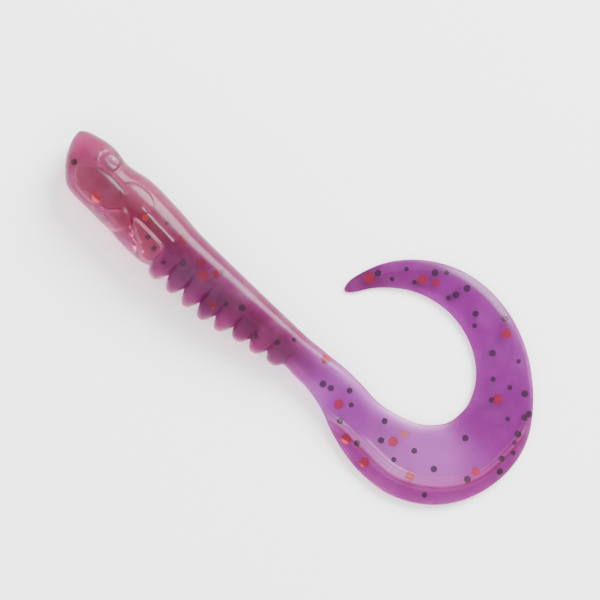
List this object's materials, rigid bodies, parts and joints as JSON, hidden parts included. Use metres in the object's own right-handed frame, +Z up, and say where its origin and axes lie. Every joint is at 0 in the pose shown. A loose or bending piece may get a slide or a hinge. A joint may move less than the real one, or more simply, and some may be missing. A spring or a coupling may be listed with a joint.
{
  "type": "soft plastic fishing worm",
  "caption": "Soft plastic curly-tail worm bait with a sculpted head, ribbed belly, broad sickle tail and glitter flakes, lying on its flank.",
  "frame": {"origin": "middle of the worm's box, on the surface it lies on", "axes": "+X from the snout towards the tail along the trunk, +Y towards the worm's back, +Z up out of its right flank"},
  "size_m": [0.089, 0.0364, 0.0087],
  "materials": {
    "head_plastic": "gloss",
    "trunk_plastic": "gloss",
    "tail_plastic": "gloss",
    "eye_plastic": "gloss",
    "flake_red": "gloss",
    "flake_dark": "gloss",
    "flake_gold": "gloss"
  },
  "bodies": {
    "fore_body": {"head": "head_plastic", "shoulder": "head_plastic", "jaw": "head_plastic", "cheek_right": "head_plastic", "gill_right": "head_plastic", "eye_right": "eye_plastic", "fin_right": "head_plastic", "cheek_left": "head_plastic", "gill_left": "head_plastic", "eye_left": "eye_plastic", "fin_left": "head_plastic", "rib_1": "trunk_plastic", "rib_2": "trunk_plastic", "flakes_red_head": "flake_red", "flakes_dark_head": "flake_dark"},
    "trunk_middle": {"trunk_middle": "trunk_plastic", "rib_3": "trunk_plastic", "rib_4": "trunk_plastic", "rib_5": "trunk_plastic", "flakes_red_trunk_middle": "flake_red", "flakes_dark_trunk_middle": "flake_dark"},
    "trunk_rear": {"trunk_rear": "trunk_plastic", "rib_6": "trunk_plastic", "rib_7": "trunk_plastic", "rib_8": "trunk_plastic", "flakes_dark_trunk_rear": "flake_dark"},
    "tail_stem": {"tail_stem": "tail_plastic", "flakes_red_tail_stem": "flake_red", "flakes_dark_tail_stem": "flake_dark"},
    "tail_lower": {"tail_lower": "tail_plastic", "flakes_red_tail_lower": "flake_red", "flakes_dark_tail_lower": "flake_dark", "flakes_gold_tail_lower": "flake_gold"},
    "tail_bend": {"tail_bend": "tail_plastic", "flakes_red_tail_bend": "flake_red", "flakes_dark_tail_bend": "flake_dark"},
    "tail_upper": {"tail_upper": "tail_plastic", "flakes_red_tail_upper": "flake_red", "flakes_dark_tail_upper": "flake_dark"},
    "tail_hook": {"tail_hook": "tail_plastic", "flakes_red_tail_hook": "flake_red", "flakes_dark_tail_hook": "flake_dark"}
  },
  "joints": [
    {"name": "trunk_front_bend", "type": "hinge", "parent": "fore_body", "child": "trunk_middle", "pos_m": [-0.01479, -0.01032, 0.00411], "axis": [0, 1, 0], "range_deg": [-15, 15], "stiffness_Nm_per_rad": 0.0018},
    {"name": "trunk_rear_bend", "type": "hinge", "parent": "trunk_middle", "child": "trunk_rear", "pos_m": [-0.00469, -0.01032, 0.00353], "axis": [0, 1, 0], "range_deg": [-15, 15], "stiffness_Nm_per_rad": 0.0008},
    {"name": "tail_sway", "type": "hinge", "parent": "trunk_rear", "child": "tail_stem", "pos_m": [0.00846, -0.01032, 0.0024], "axis": [0, 1, 0], "range_deg": [-50, 50], "stiffness_Nm_per_rad": 0.00022},
    {"name": "tail_curl_1", "type": "hinge", "parent": "tail_stem", "child": "tail_lower", "pos_m": [0.02126, -0.0122, 0.00131], "axis": [0, 0, 1], "range_deg": [-22, 4], "stiffness_Nm_per_rad": 0.001},
    {"name": "tail_curl_2", "type": "hinge", "parent": "tail_lower", "child": "tail_bend", "pos_m": [0.03592, -0.00801, 0.00093], "axis": [0, 0, 1], "range_deg": [-18, 4], "stiffness_Nm_per_rad": 0.002},
    {"name": "tail_curl_3", "type": "hinge", "parent": "tail_bend", "child": "tail_upper", "pos_m": [0.03579, 0.00681, 0.00084], "axis": [0, 0, 1], "range_deg": [-25, 5], "stiffness_Nm_per_rad": 0.0008},
    {"name": "tail_curl_4", "type": "hinge", "parent": "tail_upper", "child": "tail_hook", "pos_m": [0.02237, 0.01456, 0.0007], "axis": [0, 0, 1], "range_deg": [-31, 6], "stiffness_Nm_per_rad": 0.00027}
  ],
  "couplings": [
    {"joint": "trunk_rear_bend", "follows": "trunk_front_bend", "ratio": 1},
    {"joint": "tail_curl_2", "follows": "tail_curl_1", "ratio": 0.8},
    {"joint": "tail_curl_3", "follows": "tail_curl_1", "ratio": 1.1},
    {"joint": "tail_curl_4", "follows": "tail_curl_1", "ratio": 1.4}
  ]
}
